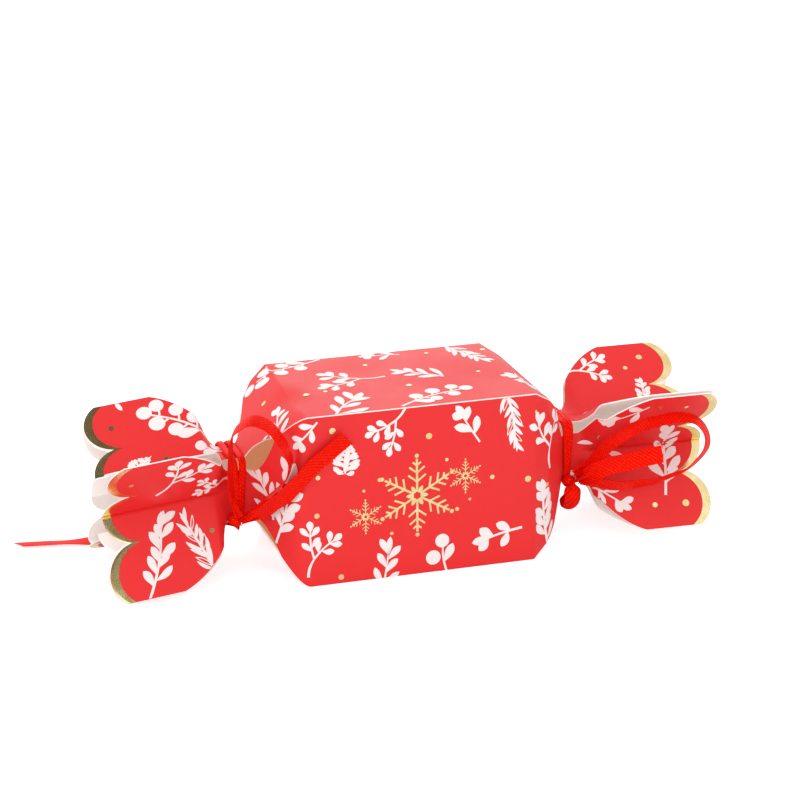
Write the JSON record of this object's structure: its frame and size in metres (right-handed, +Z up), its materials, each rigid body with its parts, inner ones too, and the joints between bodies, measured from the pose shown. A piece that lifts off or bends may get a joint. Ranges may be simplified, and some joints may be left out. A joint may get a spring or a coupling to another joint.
{
  "type": "christmas cracker",
  "caption": "Square card cracker with bent petal ends, scalloped flares and satin bows; a snap runs inside from neck to neck and both ends pull off along the axis.",
  "frame": {"origin": "centre of the barrel's bottom face, on the surface that the cracker lies on", "axes": "+X along the cracker towards its right end, -Y the front with the seam at its upper edge, +Z up"},
  "size_m": [0.234, 0.0769, 0.06],
  "materials": {
    "printed_card": "satin coated board, printed red with white sprigs, gold foil edges and dots, white inside",
    "bare_card": "uncoated white card",
    "satin_ribbon": "woven satin, glossy",
    "snap_card": "matt grey-brown board",
    "sleeve_paper": "matt paper",
    "crown_tissue": "folded tissue paper",
    "slip_paper": "plain paper",
    "painted_wood": "gloss painted"
  },
  "bodies": {
    "barrel": {"barrel_front": "printed_card", "barrel_top": "printed_card", "barrel_back": "printed_card", "barrel_bottom": "printed_card", "glue_flap": "bare_card", "left_petal_front": "printed_card", "left_petal_top": "printed_card", "left_petal_back": "printed_card", "left_petal_bottom": "printed_card", "right_petal_front": "printed_card", "right_petal_top": "printed_card", "right_petal_back": "printed_card", "right_petal_bottom": "printed_card", "paper_crown": "crown_tissue", "motto_slip": "slip_paper", "spinning_top": "painted_wood"},
    "left_end": {"left_flare_front": "printed_card", "left_flare_top": "printed_card", "left_flare_back": "printed_card", "left_flare_bottom": "printed_card", "left_ribbon_wrap": "satin_ribbon", "left_ribbon_knot": "satin_ribbon", "left_ribbon_loop": "satin_ribbon", "left_ribbon_front_tail": "satin_ribbon", "left_ribbon_back_tail": "satin_ribbon", "left_snap_strip": "snap_card"},
    "right_end": {"right_flare_front": "printed_card", "right_flare_top": "printed_card", "right_flare_back": "printed_card", "right_flare_bottom": "printed_card", "right_ribbon_wrap": "satin_ribbon", "right_ribbon_knot": "satin_ribbon", "right_ribbon_loop": "satin_ribbon", "right_ribbon_tail": "satin_ribbon", "right_ribbon_short_loop": "satin_ribbon", "right_snap_strip": "snap_card", "snap_sleeve": "sleeve_paper"}
  },
  "joints": [
    {"name": "left_end_pull", "type": "slide", "parent": "barrel", "child": "left_end", "axis": [-1, 0, 0], "range_m": [0, 0.06]},
    {"name": "right_end_pull", "type": "slide", "parent": "barrel", "child": "right_end", "axis": [1, 0, 0], "range_m": [0, 0.06]}
  ]
}
